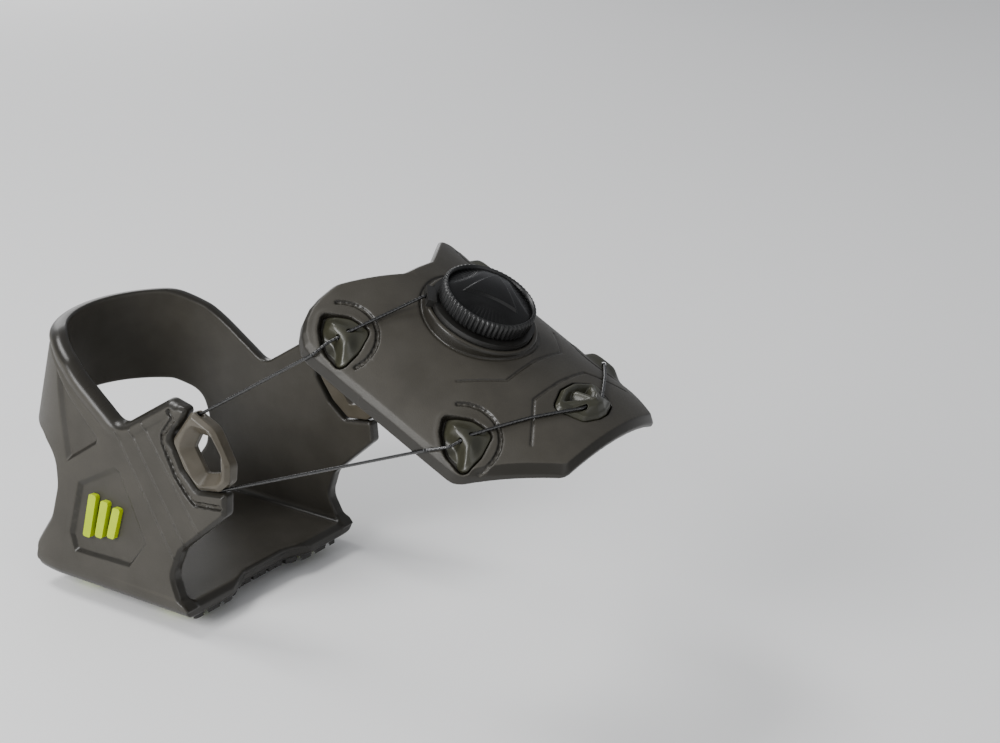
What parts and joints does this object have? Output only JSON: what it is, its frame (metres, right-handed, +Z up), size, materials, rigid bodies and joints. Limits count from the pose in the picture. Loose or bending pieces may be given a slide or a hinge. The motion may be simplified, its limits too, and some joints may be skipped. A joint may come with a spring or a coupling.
{
  "type": "heel ice cleat",
  "caption": "Rubber heel cleat with carbide-tipped studs, held on a boot by a thin steel lace that a ratchet dial on a curved instep shield winds in.",
  "frame": {"origin": "middle of the heel seat's top face, where the boot's heel rests", "axes": "+X towards the toe, +Y towards the wearer's left, +Z up"},
  "size_m": [0.2182, 0.0868, 0.125],
  "materials": {
    "elastomer": "satin moulded elastomer, warm grey brown",
    "tread_rubber": "matte black rubber",
    "lime": "satin lime green",
    "stud_steel": "turned steel",
    "carbide": "ground carbide",
    "guide_plastic": "smooth taupe nylon",
    "pocket_plastic": "satin dark olive nylon",
    "lace_steel": "stranded steel wire",
    "dial_housing": "satin black nylon",
    "dial_grip": "ribbed black rubber",
    "dial_cap": "gloss black"
  },
  "bodies": {
    "heel_cup": {"heel_cup": "elastomer", "tread": "tread_rubber", "stud_sockets": "stud_steel", "stud_collars": "lime", "stud_cores": "stud_steel", "stud_tips": "carbide", "lace_guide_right": "guide_plastic", "lace_guide_left": "guide_plastic", "guide_lace_right": "lace_steel", "guide_lace_left": "lace_steel", "badge_right": "lime", "badge_left": "lime", "upper_lace_right": "lace_steel", "upper_lace_left": "lace_steel", "lower_lace_right": "lace_steel", "lower_lace_left": "lace_steel"},
    "shield": {"shield": "elastomer", "rear_pocket_right": "pocket_plastic", "rear_pocket_left": "pocket_plastic", "front_pocket_right": "pocket_plastic", "front_pocket_left": "pocket_plastic", "front_guide": "pocket_plastic", "dial_base": "dial_housing", "axle_screw": "lace_steel", "shield_lace": "lace_steel"},
    "spool": {"spool": "dial_housing", "wound_lace": "lace_steel"},
    "lift": {"lift_clip": "lace_steel"},
    "knob": {"knob_core": "dial_housing", "pawl_ring": "dial_housing", "knob_grip": "dial_grip", "knob_cap": "dial_cap"}
  },
  "joints": [
    {"name": "shield_slide", "type": "slide", "parent": "heel_cup", "child": "shield", "axis": [0.89, 0, 0.456], "range_m": [0, 0.04], "deforming": ["upper_lace_right", "upper_lace_left", "lower_lace_right", "lower_lace_left"]},
    {"name": "spool_spin", "type": "hinge", "parent": "shield", "child": "spool", "pos_m": [0.1167, 0, 0.1014], "axis": [-0.454, 0, -0.891], "range_deg": [0, 840]},
    {"name": "knob_lift", "type": "slide", "parent": "shield", "child": "lift", "axis": [0.454, 0, 0.891], "range_m": [0, 0.0025]},
    {"name": "knob_turn", "type": "hinge", "parent": "lift", "child": "knob", "pos_m": [0.1167, 0, 0.1014], "axis": [-0.454, 0, -0.891], "range_deg": [0, 840]}
  ],
  "couplings": [
    {"joint": "spool_spin", "follows": "shield_slide", "rad_per_m": 359.5},
    {"joint": "knob_turn", "follows": "shield_slide", "rad_per_m": 359.5}
  ]
}
